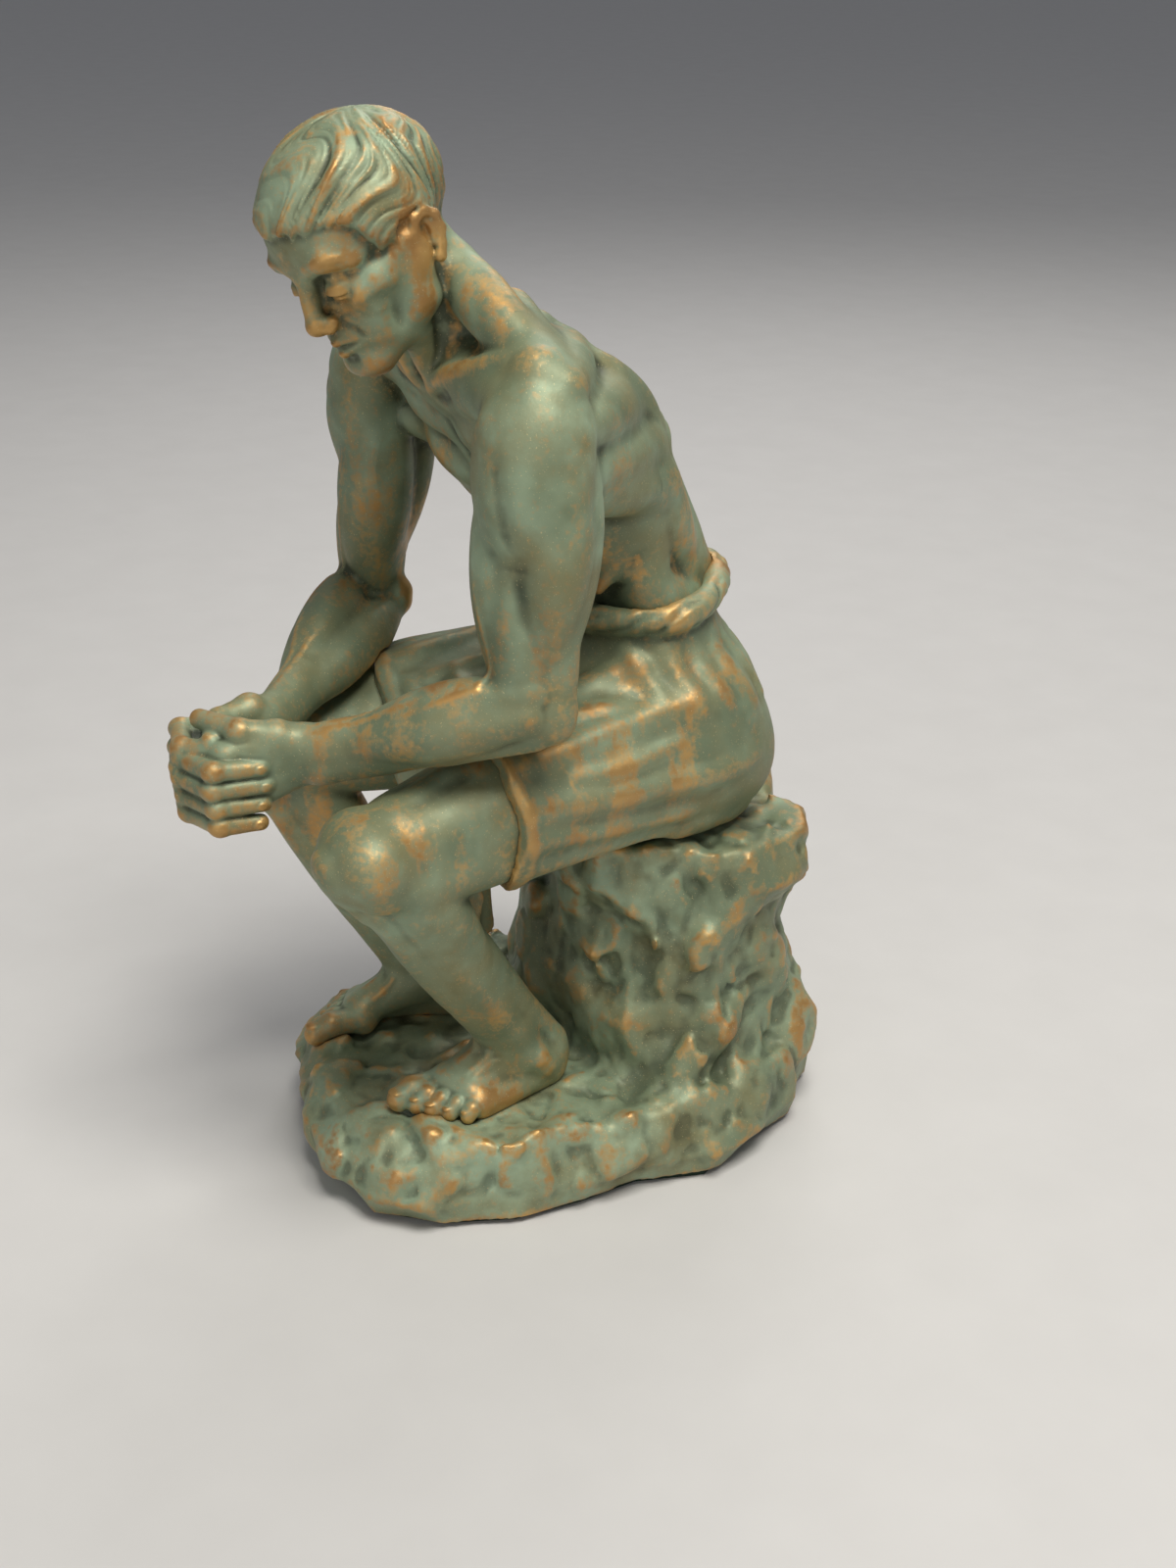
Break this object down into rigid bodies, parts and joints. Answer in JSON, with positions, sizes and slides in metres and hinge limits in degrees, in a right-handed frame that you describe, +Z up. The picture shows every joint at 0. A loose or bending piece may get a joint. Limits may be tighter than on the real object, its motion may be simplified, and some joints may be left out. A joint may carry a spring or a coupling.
{
  "type": "statuette of a seated figure in thought",
  "caption": "Desk statuette of a seated figure deep in thought, hands clasped over the knees, on a chiselled rock, cast in verdigris bronze finish with a felt foot.",
  "frame": {"origin": "middle of the felt's underside, on the surface that the statuette stands on", "axes": "+Z up, the figure facing -Y, its left side at +X"},
  "size_m": [0.1039, 0.1538, 0.2333],
  "materials": {
    "patina": "satin",
    "rock_patina": "satin",
    "cloth_patina": "satin",
    "steel": "satin",
    "zinc": "satin",
    "brass": "satin",
    "ballast": "matte",
    "board": "matte",
    "felt": "matte"
  },
  "bodies": {
    "root": {"rock": "rock_patina", "hip_cloth": "cloth_patina", "torso": "patina", "head": "patina", "left_arm": "patina", "right_arm": "patina", "clasped_hands": "patina", "left_leg": "patina", "right_leg": "patina", "neck_pin": "steel", "waist_pins": "steel", "shoulder_pins": "steel", "wrist_pins": "steel", "thigh_pins": "steel", "foot_pins": "steel", "seat_stud": "zinc", "seat_washer": "zinc", "seat_nut": "zinc", "cover_screws": "zinc", "stud_insert": "brass", "ballast_block": "ballast", "bottom_cover": "board", "felt_pad": "felt"}
  },
  "joints": []
}
